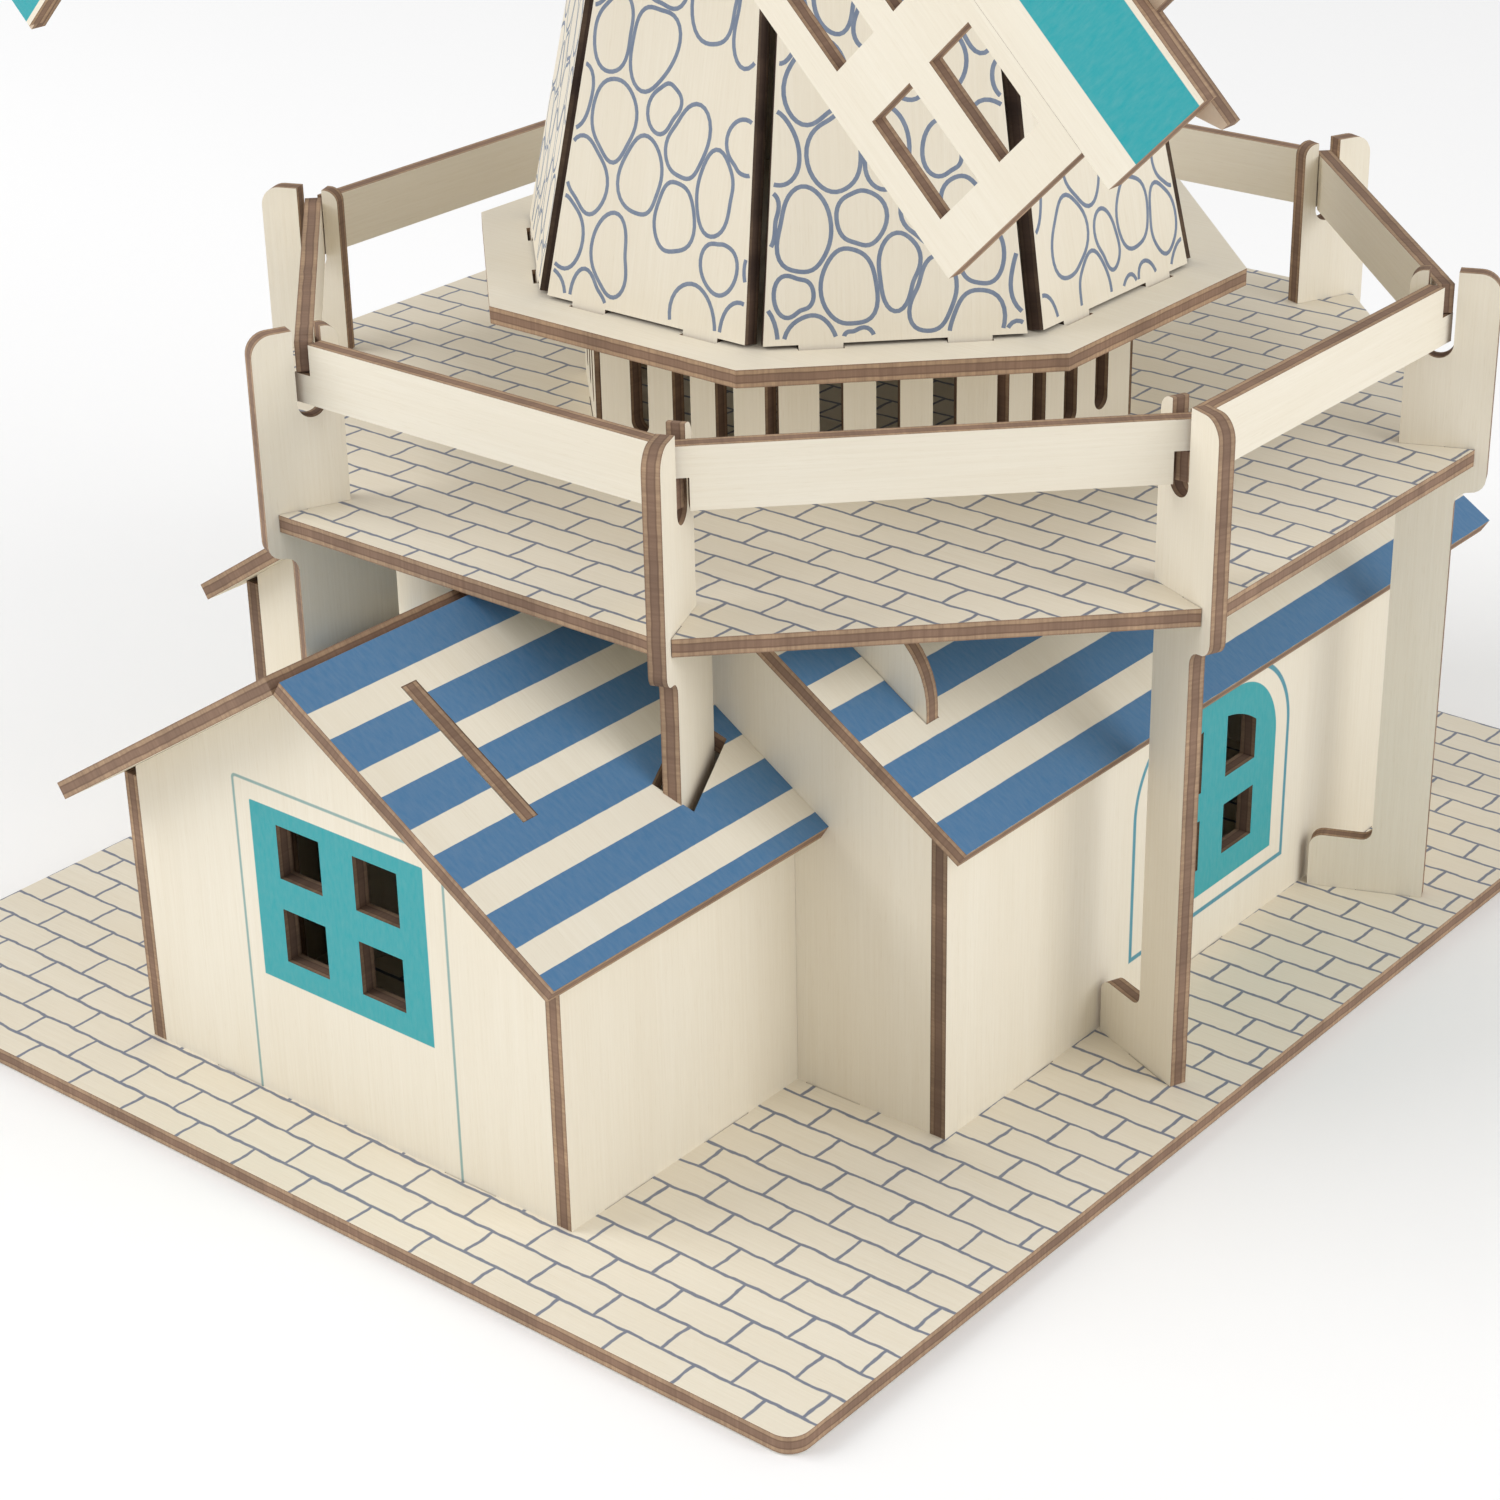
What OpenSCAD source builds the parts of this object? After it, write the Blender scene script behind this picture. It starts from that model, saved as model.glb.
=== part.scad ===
// Laser-cut plywood windmill puzzle: a brick-printed base, two houses, an octagonal deck on
// eight posts, a tapering tower and four sails that turn on a dowel.
// Frame: the tower's axis is the Z axis, z = 0 is the underside of the base, -Y is the front.

/* [Sheet] */
// Thickness of the plywood sheet
t = 2.5; // [2.2:0.1:2.8]
// Clearance on each side of a tab in its slot
slot_gap = 0.12; // [0.05:0.01:0.2]

/* [Base] */
// Width of the base plate, along X
base_w = 178; // [176:1:200]
// Depth of the base plate, along Y
base_d = 219; // [214:1:240]
// Distance from the tower's axis to the base plate's back edge
base_back = 92; // [92:1:100]
// Radius of the base plate's corners
base_corner = 3; // [1:0.5:6]

/* [Houses] */
// Rise of every roof for each millimetre of run
pitch = 0.64; // [0.6:0.01:0.7]
// Distance that the roofs overhang the side walls
overhang = 4.5; // [3:0.5:6]
// Distance that the small house's roof overhangs its gable
annex_porch = 7; // [4:0.5:8]
// Distance that the main house's roof overhangs its gables
house_porch = 4; // [2:0.5:6]
// Half width of the small front house, to the walls' outer faces
annex_half = 39.9; // [38:0.5:42]
// Distance from the tower's axis to the small house's front face
annex_front = 111; // [108:0.5:116]
// Half width of the main house, to the walls' outer faces
house_half = 65; // [60:0.5:66]
// Distance from the tower's axis to the main house's front and back faces
house_front = 64.5; // [62:0.5:66]
// Height of the main house's side walls above the base
house_wall = 47.5; // [42:0.5:48]

/* [Deck] */
// Corner radius of the octagonal deck
deck_r = 91.7; // [90:0.1:92]
// Height of the deck's underside above the table
deck_z = 72.4; // [72:0.1:76]
// Radius of the posts' outer edges above the deck
post_r = 93; // [92:0.5:95]
// Height of the posts' tops above the table
post_top = 100.5; // [98:0.5:101]
// Height of a rail
rail_h = 8.6; // [7:0.1:10]

/* [Tower] */
// Corner radius of the slotted drum under the tower
drum_r = 42; // [40:0.5:44]
// Corner radius of the collar plate
collar_r = 57.6; // [56:0.1:60]
// Height of the collar's underside above the table
collar_z = 96; // [95:0.5:98]
// Corner radius of the tower at its foot
tower_r = 50; // [48:0.5:51]
// Corner radius of the tower at its top
tower_top_r = 26; // [24:0.5:28]
// Height of the tower's top above the table
tower_top = 206; // [200:1:212]

/* [Cap] */
// Half width of the cap's floor
cap_half = 32; // [30:1:36]
// Distance that the cap reaches in front of the axis
cap_front = 58; // [50:1:62]
// Distance that the cap reaches behind the axis
cap_back = 42; // [38:1:50]
// Height of the cap's ridge above its floor
cap_h = 58; // [52:1:62]

/* [Sails] */
// Height of the axle above the table
hub_z = 238.5; // [236:0.5:244]
// Distance of the sails' middle plane in front of the axis
sail_y = 75; // [73:0.5:80]
// Length of a sail's lattice, from the hub's centre
lattice_end = 130.5; // [126:0.5:131]
// Length of a sail's board, from the hub's centre
board_end = 135.5; // [130:0.5:136]
// Diameter of the dowel
dowel_d = 6; // [5:0.5:7]

/* [Hidden] */
$fn = 48;
SIDES = 8;
fit = 0.06;                              // running clearance of the dowel, on the radius
eps = 0.03;                              // gap between plates that only touch
z0 = t;                                  // the base's upper face
half_turn = 180 / SIDES;
roof_rise = t * sqrt(1 + pitch * pitch); // vertical thickness of a roof panel
roof_up = t / sqrt(1 + pitch * pitch);   // rise of a roof panel's square-cut edge
post_angles = [for (i = [0:SIDES - 1]) -67.5 + 45 * i];

// Roof planes: height of the underside of a roof at distance x from its ridge.
annex_ridge = deck_z - 0.4 - roof_up;
function annex_under(x) = annex_ridge - pitch * abs(x);
function house_under(x) = z0 + house_wall + pitch * (house_half - abs(x));
house_top_x = house_half - (deck_z - 0.4 - roof_up - z0 - house_wall) / pitch;

// Widths and places along the deck's posts, as radii from the tower's axis.
post_in = 80.5;
deck_slot_r = 87;
leg_out = 88.8;
side_leg_in = 80.8;
side_foot_in = house_half / cos(half_turn) + 1.2;
gable_leg_in = 74.6;
gable_foot_in = house_front / cos(half_turn) + 1.2;
foot_h = 8.6;
tab_in = 79;
tab_out = 87;
rail_r = 85;
rail_slot = 4.1;
rail_z = 90;
rail_a = rail_r * cos(half_turn);        // distance of a rail's middle plane from the axis

// Wall tabs, each [centre x, centre y, length along x, length along y].
tab_l = 9;
annex_tabs = concat(
    [for (x = [-22, 22]) [x, t / 2 - annex_front, tab_l, t]],
    [for (s = [-1, 1], y = [-100, -80]) [s * (annex_half - t / 2), y, t, tab_l]]);
house_tabs = concat(
    [for (s = [-1, 1], x = [-46, 46]) [x, s * (house_front - t / 2), tab_l, t]],
    [for (s = [-1, 1], y = [-44, 0, 44]) [s * (house_half - t / 2), y, t, tab_l]]);

// Points of an arc about c, from angle a to angle b.
function arc(c, r, a, b, n = 8) =
    [for (i = [0:n]) c + r * [cos(a + (b - a) * i / n), sin(a + (b - a) * i / n)]];

// Outline of a rectangle with rounded corners, from p to q.
function round_rect(p, q, r) = concat(
    arc([q[0] - r, p[1] + r], r, -90, 0), arc([q[0] - r, q[1] - r], r, 0, 90),
    arc([p[0] + r, q[1] - r], r, 90, 180), arc([p[0] + r, p[1] + r], r, 180, 270));

// An outline from its right half, drawn from the foot up to the top.
function two_sided(half) = concat(half,
    [for (i = [len(half) - 1:-1:0]) if (half[i][0] > 0) [-half[i][0], half[i][1]]]);

// Corner points of an octagon of corner radius r.
function octagon(r) = [for (a = post_angles) r * [cos(a), sin(a)]];

// A plate standing in the X-Z plane, its front face at y.
module plate_xz(y) translate([0, y + t, 0]) rotate([90, 0, 0]) linear_extrude(t) children();

// A plate standing in the Y-Z plane, its lower-X face at x.
module plate_yz(x) translate([x, 0, 0]) rotate([90, 0, 90]) linear_extrude(t) children();

// A sheet standing along a ray from the axis at the angle a, drawn as (radius, height).
module plate_radial(a) rotate([0, 0, a]) translate([0, t / 2, 0]) rotate([90, 0, 0])
    linear_extrude(t) children();

module tab_slots(tabs, gap) for (p = tabs) translate([p[0], p[1], 0])
    cube([p[2] + 2 * gap, p[3] + 2 * gap, 4 * t], center = true);

// ---- Base ----
module base_plate() color("wheat") difference() {
    linear_extrude(t) polygon(round_rect([-base_w / 2, base_back - base_d],
        [base_w / 2, base_back], base_corner));
    tab_slots(annex_tabs, slot_gap);
    tab_slots(house_tabs, slot_gap);
    for (a = post_angles) rotate([0, 0, a]) translate([(tab_in + tab_out) / 2, 0, 0])
        cube([tab_out - tab_in + 2 * slot_gap, t + 2 * slot_gap, 4 * t], center = true);
}

// Tabs that stand down into the base, drawn in the plane of a wall along the axis k.
module base_tabs(tabs, k) for (p = tabs)
    translate([p[k] - tab_l / 2, eps]) square([tab_l, z0 - eps]);

// ---- Small front house ----
pane = 8;
pane_x = [-9.9, 4.3];
pane_z = [25, 37.6];
frame_tab = [8, 28];                     // tab through the roof, as distances from the ridge

module annex_gable() color("wheat") plate_xz(-annex_front) difference() {
    union() {
        polygon([[-annex_half + t + eps, z0], [annex_half - t - eps, z0],
            [annex_half - t - eps, annex_under(annex_half - t)], [0, annex_ridge],
            [-annex_half + t + eps, annex_under(annex_half - t)]]);
        base_tabs([annex_tabs[0], annex_tabs[1]], 0);
    }
    for (x = pane_x, z = pane_z) translate([x, z]) square(pane);
}

module annex_wall(s, tabs) color("wheat")
    plate_yz(s > 0 ? annex_half - t : -annex_half) difference() {
        union() {
            translate([-annex_front, z0]) square([annex_front - house_front - eps,
                annex_under(annex_half) - z0 - eps]);
            base_tabs(tabs, 1);
        }
    }
module annex_wall_left() annex_wall(-1, [annex_tabs[2], annex_tabs[3]]);
module annex_wall_right() annex_wall(1, [annex_tabs[4], annex_tabs[5]]);

// A partition inside the small house that carries the roof, open behind the gable's window.
annex_frame_y = -103.5;
frame_open = 17.4;                       // half width of that opening
frame_open_z = [14, 47.5];
module annex_frame() color("wheat") plate_xz(annex_frame_y) difference() {
    inner = annex_half - t - eps;
    polygon(two_sided(concat([[inner, z0 + eps], [inner, annex_under(inner) - eps]],
        [for (q = [[1, -eps], [1, roof_rise], [0, roof_rise], [0, -eps]])
            [frame_tab[q[0]], annex_under(frame_tab[q[0]]) + q[1]]],
        [[0, annex_ridge - eps]])));
    translate([-frame_open, frame_open_z[0]])
        square([2 * frame_open, frame_open_z[1] - frame_open_z[0]]);
}

// One square-cut roof panel on the side s: its underside runs from x0, at the height under0, to
// x1, and its length from y0 to y1.
module roof_panel(s, x0, x1, y0, y1, under0) mirror([s < 0 ? 1 : 0, 0, 0])
    translate([0, y1, 0]) rotate([90, 0, 0]) linear_extrude(y1 - y0) {
        under1 = under0 - pitch * (x1 - x0);
        polygon([[x0, under0], [x1, under1], [x1 + pitch * roof_up, under1 + roof_up],
            [x0 + pitch * roof_up, under0 + roof_up]]);
    }

// The posts that pass through the small house's roof leave a slot wider than their sheet.
post_hole = [70, 88.5, 5.6];
annex_eave = annex_half + overhang;
module annex_roof(s) color("steelblue") difference() {
    roof_panel(s, eps, annex_eave, -annex_front - annex_porch, -house_front - eps, annex_ridge);
    translate([s * (frame_tab[0] + frame_tab[1]) / 2, annex_frame_y + t / 2, 50])
        cube([frame_tab[1] - frame_tab[0] + 2 * slot_gap, t + 2 * slot_gap, 60], center = true);
    for (a = [-67.5, -112.5]) rotate([0, 0, a]) translate([post_hole[0] + 4, -post_hole[2] / 2, 20])
        cube([post_hole[1] - post_hole[0] - 4, post_hole[2], 60]);
}
module annex_roof_left() annex_roof(-1);
module annex_roof_right() annex_roof(1);

// ---- Main house ----
// Four panes of a window centred at x = 0 with its foot at z; the upper pair follows an arch.
module arched_panes(z) for (x = [-11.2, 3.2]) {
    translate([x, z]) square(pane);
    intersection() {
        translate([x, z + 12.5]) square([pane, 10]);
        translate([0, z + 4]) circle(r = 18.5);
    }
}

module house_gable_outline() polygon([[-house_half + t + eps, z0], [house_half - t - eps, z0],
    [house_half - t - eps, house_under(house_half - t)], [house_top_x, house_under(house_top_x)],
    [house_top_x, deck_z - eps], [-house_top_x, deck_z - eps],
    [-house_top_x, house_under(house_top_x)], [-house_half + t + eps, house_under(house_half - t)]]);

module house_gable_front() color("wheat") plate_xz(-house_front) union() {
    house_gable_outline();
    base_tabs([house_tabs[0], house_tabs[1]], 0);
}

module house_gable_back() color("wheat") plate_xz(house_front - t) difference() {
    union() {
        house_gable_outline();
        base_tabs([house_tabs[2], house_tabs[3]], 0);
    }
    arched_panes(z0 + 14.5);
}

module house_wall(s, tabs) color("wheat")
    plate_yz(s > 0 ? house_half - t : -house_half) difference() {
        union() {
            translate([-house_front, z0]) square([2 * house_front, house_wall - eps]);
            base_tabs(tabs, 1);
        }
        arched_panes(z0 + 14.5);
    }
module house_wall_left() house_wall(-1, [house_tabs[4], house_tabs[5], house_tabs[6]]);
module house_wall_right() house_wall(1, [house_tabs[7], house_tabs[8], house_tabs[9]]);

// Inner frame: its rounded ears stand through the roof panels and hold up the deck.
ear_in = 44;
ear_r = 12;
ear_out = ear_in + ear_r;
ear_y = -57;
module house_frame() color("wheat") plate_xz(ear_y) {
    inner = house_half - t - eps;
    polygon(two_sided(concat([[inner, z0 + eps], [inner, house_under(inner) - eps],
        [ear_out, house_under(ear_out) - eps]],
        arc([ear_in, deck_z - eps - ear_r], ear_r, 0, 90, 12),
        [[ear_in, house_under(ear_in) - eps], [house_top_x, house_under(house_top_x) - eps],
            [house_top_x, deck_z - eps]])));
}

house_eave = house_half + overhang;
module house_roof(s) color("steelblue") difference() {
    roof_panel(s, house_top_x + 0.1, house_eave, -house_front - house_porch,
        house_front + house_porch, house_under(house_top_x + 0.1));
    translate([s * (ear_in + ear_out) / 2, ear_y + t / 2, 50])
        cube([ear_out - ear_in + 2 * slot_gap, t + 2 * slot_gap, 60], center = true);
}
module house_roof_left() house_roof(-1);
module house_roof_right() house_roof(1);

// ---- Deck ----
module deck_plate() color("wheat") difference() {
    translate([0, 0, deck_z]) linear_extrude(t) polygon(octagon(deck_r));
    for (a = post_angles) rotate([0, 0, a])
        translate([deck_slot_r - slot_gap, -t / 2 - slot_gap, deck_z - t])
            cube([10, t + 2 * slot_gap, 4 * t]);
    for (a = [0:360 / SIDES:359]) rotate([0, 0, a]) translate([drum_a, 0, deck_z])
        cube([t + 2 * slot_gap, 8 + 2 * slot_gap, 4 * t], center = true);
}

// A post: foot and leg below the deck, a wider fin above it with a slot for the rails.
module post(a, leg_in, foot_in) color("wheat") plate_radial(a) difference() {
    s1 = (post_r - leg_out) / 2;
    cut_r = 3.2;
    polygon(concat(
        [[foot_in, z0 + eps], [tab_in, z0 + eps], [tab_in, eps], [tab_out, eps], [tab_out, z0 + eps],
            [leg_out, z0 + eps]],
        arc([leg_out + s1, deck_z - 6.2], s1, 180, 90, 5),
        arc([leg_out + s1, deck_z - 6.2 + 2 * s1], s1, -90, 0, 5),
        arc([post_r - 3, post_top - 3], 3, 0, 90),
        arc([post_in + 2, post_top - 2], 2, 90, 180),
        [[post_in, deck_z + t + eps], [deck_slot_r, deck_z + t + eps], [deck_slot_r, deck_z - eps],
            [leg_in, deck_z - eps]],
        arc([leg_in - cut_r / 2, z0 + foot_h + cut_r / 2], cut_r / 2, 0, -90, 5),
        [[foot_in + 2, z0 + foot_h]],
        arc([foot_in + 2, z0 + foot_h - 2], 2, 90, 180, 6)));
    translate([rail_r - rail_slot / 2, rail_z]) square([rail_slot, 20]);
    translate([rail_r, rail_z]) circle(d = rail_slot);
}
module gable_post(a) post(a, gable_leg_in, gable_foot_in);
module side_post(a) post(a, side_leg_in, side_foot_in);
module post_1() gable_post(post_angles[0]);
module post_2() side_post(post_angles[1]);
module post_3() side_post(post_angles[2]);
module post_4() gable_post(post_angles[3]);
module post_5() gable_post(post_angles[4]);
module post_6() side_post(post_angles[5]);
module post_7() side_post(post_angles[6]);
module post_8() gable_post(post_angles[7]);

// A rail between two posts: its ends are cut to half height and rest in the posts' slots, the
// upper half on the diagonal rails and the lower half on the others.
module rail(i) color("wheat") rotate([0, 0, -90 + 45 * i])
    translate([rail_a - t / 2, 0, 0]) rotate([90, 0, 90]) linear_extrude(t) {
        half = rail_a * tan(half_turn);
        body = half - t / 2 / cos(half_turn) - 0.75;
        reach = half + 0.9;
        upper = i % 2 == 1;
        translate([-body, rail_z]) square([2 * body, rail_h]);
        translate([-reach, upper ? rail_z + rail_h / 2 + 0.1 : rail_z + eps])
            square([2 * reach, rail_h / 2 - 0.1 - eps]);
    }
module rail_1() rail(0);
module rail_2() rail(1);
module rail_3() rail(2);
module rail_4() rail(3);
module rail_5() rail(4);
module rail_6() rail(5);
module rail_7() rail(6);
module rail_8() rail(7);

// ---- Drum and collar ----
drum_a = drum_r * cos(half_turn) - t / 2;
drum_slot_w = 3.3;
drum_slot_z = [80.2, 91.4];              // centres of the round ends of a drum slot
drum_pitch = 7.8;
drum_h = collar_z - deck_z - t;
module drum_panel(a) rotate([0, 0, a]) translate([drum_a - t / 2, 0, 0])
    rotate([90, 0, 90]) linear_extrude(t) difference() {
        half = (drum_a - t / 2) * tan(half_turn) - eps;
        union() {
            translate([-half, deck_z + t + eps]) square([2 * half, drum_h - 2 * eps]);
            translate([-4, deck_z + eps]) square([8, t]);
            translate([-4, collar_z - t]) square([8, 2 * t - eps]);
        }
        for (x = [-drum_pitch, 0, drum_pitch]) {
            translate([x, drum_slot_z[0]]) circle(d = drum_slot_w);
            translate([x - drum_slot_w / 2, drum_slot_z[0]])
                square([drum_slot_w, drum_slot_z[1] - drum_slot_z[0]]);
            translate([x, drum_slot_z[1]]) circle(d = drum_slot_w);
        }
    }
module drum_side_panels() color("wheat") for (a = [0:90:270]) drum_panel(a);
module drum_corner_panels() color("wheat") for (a = [45:90:315]) drum_panel(a);

tower_foot_z = collar_z + t;
tower_a = tower_r * cos(half_turn);      // distance of a panel's outer face from the axis, at foot
tower_top_a = tower_top_r * cos(half_turn);
tower_lean = atan((tower_a - tower_top_a) / (tower_top - tower_foot_z));
tower_len = (tower_top - tower_foot_z) / cos(tower_lean);
foot_tab = 6;
foot_tab_x = [-10, 10];

module collar_plate() color("wheat") difference() {
    translate([0, 0, collar_z]) linear_extrude(t) polygon(octagon(collar_r));
    for (a = [0:360 / SIDES:359]) rotate([0, 0, a]) {
        translate([drum_a, 0, collar_z]) cube([t + 2 * slot_gap, 8 + 2 * slot_gap, 4 * t], center = true);
        for (x = foot_tab_x) translate([tower_a - t / 2 - 0.1, x, collar_z + t])
            cube([t + 1.4, foot_tab + 2 * slot_gap, 2 * t], center = true);
    }
}

// ---- Tower ----
// A tapering panel that leans in; its edges stop short of its neighbours' by the sheet's thickness.
module tower_panel(i) color("wheat") rotate([0, 0, -90 + 45 * i])
    translate([tower_a, 0, tower_foot_z]) rotate([0, -tower_lean, 0]) translate([-t, 0, 0])
        rotate([90, 0, 90]) linear_extrude(t) {
            foot = (tower_a - t / cos(tower_lean)) * tan(half_turn) - 0.35;
            top = (tower_top_a - t / cos(tower_lean)) * tan(half_turn) - 0.35;
            rise = t * sin(tower_lean) + eps;
            polygon([[-foot, rise], [foot, rise], [top, tower_len - eps], [-top, tower_len - eps]]);
            for (x = foot_tab_x) translate([x - foot_tab / 2, 0.1 - t / 2])
                square([foot_tab, t / 2 + rise]);
        }
module tower_panel_1() tower_panel(0);
module tower_panel_2() tower_panel(1);
module tower_panel_3() tower_panel(2);
module tower_panel_4() tower_panel(3);
module tower_panel_5() tower_panel(4);
module tower_panel_6() tower_panel(5);
module tower_panel_7() tower_panel(6);
module tower_panel_8() tower_panel(7);

// ---- Cap ----
cap_z = tower_top + t;
cap_gable_half = cap_half - 5;
cap_eave_h = 17;
cap_pitch = (cap_h - cap_eave_h) / cap_gable_half;
cap_rise = t * sqrt(1 + cap_pitch * cap_pitch);
cap_gable_y = [-cap_front + 5, cap_back - 5 - t];
cap_cut = 10;
module cap_floor() color("wheat") translate([0, 0, tower_top + eps]) linear_extrude(t - 2 * eps)
    polygon([[-cap_half + cap_cut, -cap_front], [cap_half - cap_cut, -cap_front],
        [cap_half, cap_cut - cap_front], [cap_half, cap_back - cap_cut],
        [cap_half - cap_cut, cap_back], [-cap_half + cap_cut, cap_back],
        [-cap_half, cap_back - cap_cut], [-cap_half, cap_cut - cap_front]]);

module cap_gable(y) color("wheat") difference() {
    plate_xz(y) polygon([[-cap_gable_half, cap_z], [cap_gable_half, cap_z],
        [cap_gable_half, cap_z + cap_eave_h], [0, cap_z + cap_h],
        [-cap_gable_half, cap_z + cap_eave_h]]);
    translate([0, y - 1, hub_z]) rotate([-90, 0, 0]) cylinder(d = dowel_d + 2 * fit, h = t + 2);
}
module cap_gable_front() cap_gable(cap_gable_y[0]);
module cap_gable_back() cap_gable(cap_gable_y[1]);

cap_eave = cap_gable_half + 5;
module cap_roof(s) color("steelblue") {
    outline = [[eps, cap_z + cap_h], [cap_eave, cap_z + cap_h - cap_pitch * cap_eave],
        [cap_eave, cap_z + cap_h - cap_pitch * cap_eave + cap_rise], [eps, cap_z + cap_h + cap_rise]];
    translate([0, cap_back, 0]) rotate([90, 0, 0]) linear_extrude(cap_front + cap_back)
        polygon([for (p = outline) [s * p[0], p[1] + eps]]);
}
module cap_roof_left() cap_roof(-1);
module cap_roof_right() cap_roof(1);

// ---- Sails ----
SAILS = 4;
spar_w = 2.5;                            // the board's plain strip on the lattice's side of the arm
board_w = 13.7;
lattice_w = 27.3;
lattice_start = 24;
board_start = 9;
bar = 7;
hole = [13.6, 7.4];
hole_w = [-23.4, -12.2];
hole_pitch = hole[0] + bar;
hub_plate_r = 20;

// Places its children on the arm i, drawn as (along the arm, across it) with y as the front face.
module arm(i, y, h) translate([0, y + h, hub_z]) rotate([90, 0, 0]) rotate([0, 0, 90 * i - 45])
    linear_extrude(h) children();

module sail_lattice(i) color("wheat") arm(i, -sail_y - t / 2, t) difference() {
    translate([lattice_start, -lattice_w])
        square([lattice_end - lattice_start, lattice_w - spar_w - eps]);
    for (k = [0:4], w = hole_w) translate([lattice_end - 5.6 - hole[0] - hole_pitch * k, w])
        square(hole);
}
module sail_lattice_1() sail_lattice(0);
module sail_lattice_2() sail_lattice(1);
module sail_lattice_3() sail_lattice(2);
module sail_lattice_4() sail_lattice(3);

module sail_board(i) color("teal") arm(i, -sail_y - t / 2, t)
    polygon([[board_start, -spar_w], [board_end, -spar_w], [board_end, board_w],
        [lattice_start, board_w], [board_start, spar_w]]);
module sail_board_1() sail_board(0);
module sail_board_2() sail_board(1);
module sail_board_3() sail_board(2);
module sail_board_4() sail_board(3);

// Behind every board, near its outer edge, lies a narrow strip with two lugs and a blunt point.
hub_back_y = -sail_y + t / 2 + eps;
strip_out = board_w - 1;
strip_in = strip_out - 2.6;
strip_end = board_end + 3;
lug_out = board_w + 3.4;
lugs = [[58, 70], [112, 124.3]];
module sail_back_strips() color("wheat") for (i = [0:SAILS - 1]) arm(i, hub_back_y, t) {
    polygon([[40, strip_in], [board_end, strip_in], [strip_end, strip_out - 0.9],
        [strip_end, strip_out], [40, strip_out]]);
    for (l = lugs) translate([l[0], strip_in]) square([l[1] - l[0], lug_out - strip_in]);
}

// The plate behind the sails that joins the four arms, and the cap that clamps them in front.
module hub_plate() color("wheat") translate([0, hub_back_y + t, hub_z]) rotate([90, 0, 0])
    linear_extrude(t) difference() {
        union() {
            polygon(octagon(hub_plate_r));
            for (i = [0:SAILS - 1]) rotate(90 * i - 45) translate([0, -6]) square([46, 12]);
        }
        circle(d = dowel_d);
    }
module hub_cap() color("wheat") translate([0, -sail_y - t / 2 - eps, hub_z]) rotate([90, 0, 0])
    linear_extrude(t) difference() {
        polygon(octagon(14));
        circle(d = dowel_d);
    }

axle_front = sail_y + t / 2 + t + 4;
axle_back = cap_back + 6;
module axle() color("burlywood") translate([0, -axle_front, hub_z]) rotate([-90, 0, 0])
    cylinder(d = dowel_d, h = axle_front + axle_back);
module axle_stop() color("wheat") translate([0, cap_gable_y[1] + t + 3, hub_z]) rotate([90, 0, 0])
    linear_extrude(t) difference() {
        circle(r = 8);
        circle(d = dowel_d);
    }

base_plate();
annex_gable();
annex_wall_left();
annex_wall_right();
annex_frame();
annex_roof_left();
annex_roof_right();
house_gable_front();
house_gable_back();
house_wall_left();
house_wall_right();
house_frame();
house_roof_left();
house_roof_right();
deck_plate();
post_1();
post_2();
post_3();
post_4();
post_5();
post_6();
post_7();
post_8();
rail_1();
rail_2();
rail_3();
rail_4();
rail_5();
rail_6();
rail_7();
rail_8();
drum_side_panels();
drum_corner_panels();
collar_plate();
tower_panel_1();
tower_panel_2();
tower_panel_3();
tower_panel_4();
tower_panel_5();
tower_panel_6();
tower_panel_7();
tower_panel_8();
cap_floor();
cap_gable_front();
cap_gable_back();
cap_roof_left();
cap_roof_right();
sail_lattice_1();
sail_lattice_2();
sail_lattice_3();
sail_lattice_4();
sail_board_1();
sail_board_2();
sail_board_3();
sail_board_4();
sail_back_strips();
hub_plate();
hub_cap();
axle();
axle_stop();
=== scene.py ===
import bpy
import math
import random
from mathutils import Matrix, Vector


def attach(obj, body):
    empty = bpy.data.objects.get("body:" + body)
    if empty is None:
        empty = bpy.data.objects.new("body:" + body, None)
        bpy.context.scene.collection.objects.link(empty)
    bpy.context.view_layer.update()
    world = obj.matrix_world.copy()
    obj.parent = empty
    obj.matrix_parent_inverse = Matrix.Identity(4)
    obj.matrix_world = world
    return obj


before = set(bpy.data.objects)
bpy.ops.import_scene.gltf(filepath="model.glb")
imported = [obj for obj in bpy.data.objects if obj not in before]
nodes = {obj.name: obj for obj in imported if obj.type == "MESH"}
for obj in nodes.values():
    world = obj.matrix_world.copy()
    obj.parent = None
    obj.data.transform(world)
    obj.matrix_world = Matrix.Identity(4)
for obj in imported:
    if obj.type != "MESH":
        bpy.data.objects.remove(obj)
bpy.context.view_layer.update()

# ---- Sizes of the mill in millimetres, as in the CAD source; fronts and halves are from its axis ----
T = 2.5                                  # thickness of a sheet
BASE_FRONT = 127.0
ANNEX_FRONT, ANNEX_HALF = 111.0, 39.9
PARTITION_FRONT = 103.5                  # of the frame inside the small house
HOUSE_FRONT, HOUSE_HALF, HOUSE_WALL = 64.5, 65.0, 47.5
RIB_FRONT = 57.0                         # of the frame inside the main house
PITCH = 0.64                             # rise over run of the houses' roofs
OVERHANG = 4.5
DECK_Z, COLLAR_Z = 72.4, 96.0
RIDGE_GAP = 0.4                          # from the small house's ridge up to the deck
DRUM_R, RAIL_R = 42.0, 85.0
TOWER_R, TOWER_TOP_R, TOWER_TOP = 50.0, 26.0, 206.0
PANEL_GAP = 0.35                         # a tower panel stops this short of the corners on its inside
CAP_HALF, CAP_H, CAP_FRONT, CAP_BACK = 32.0, 58.0, 58.0, 42.0
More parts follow.
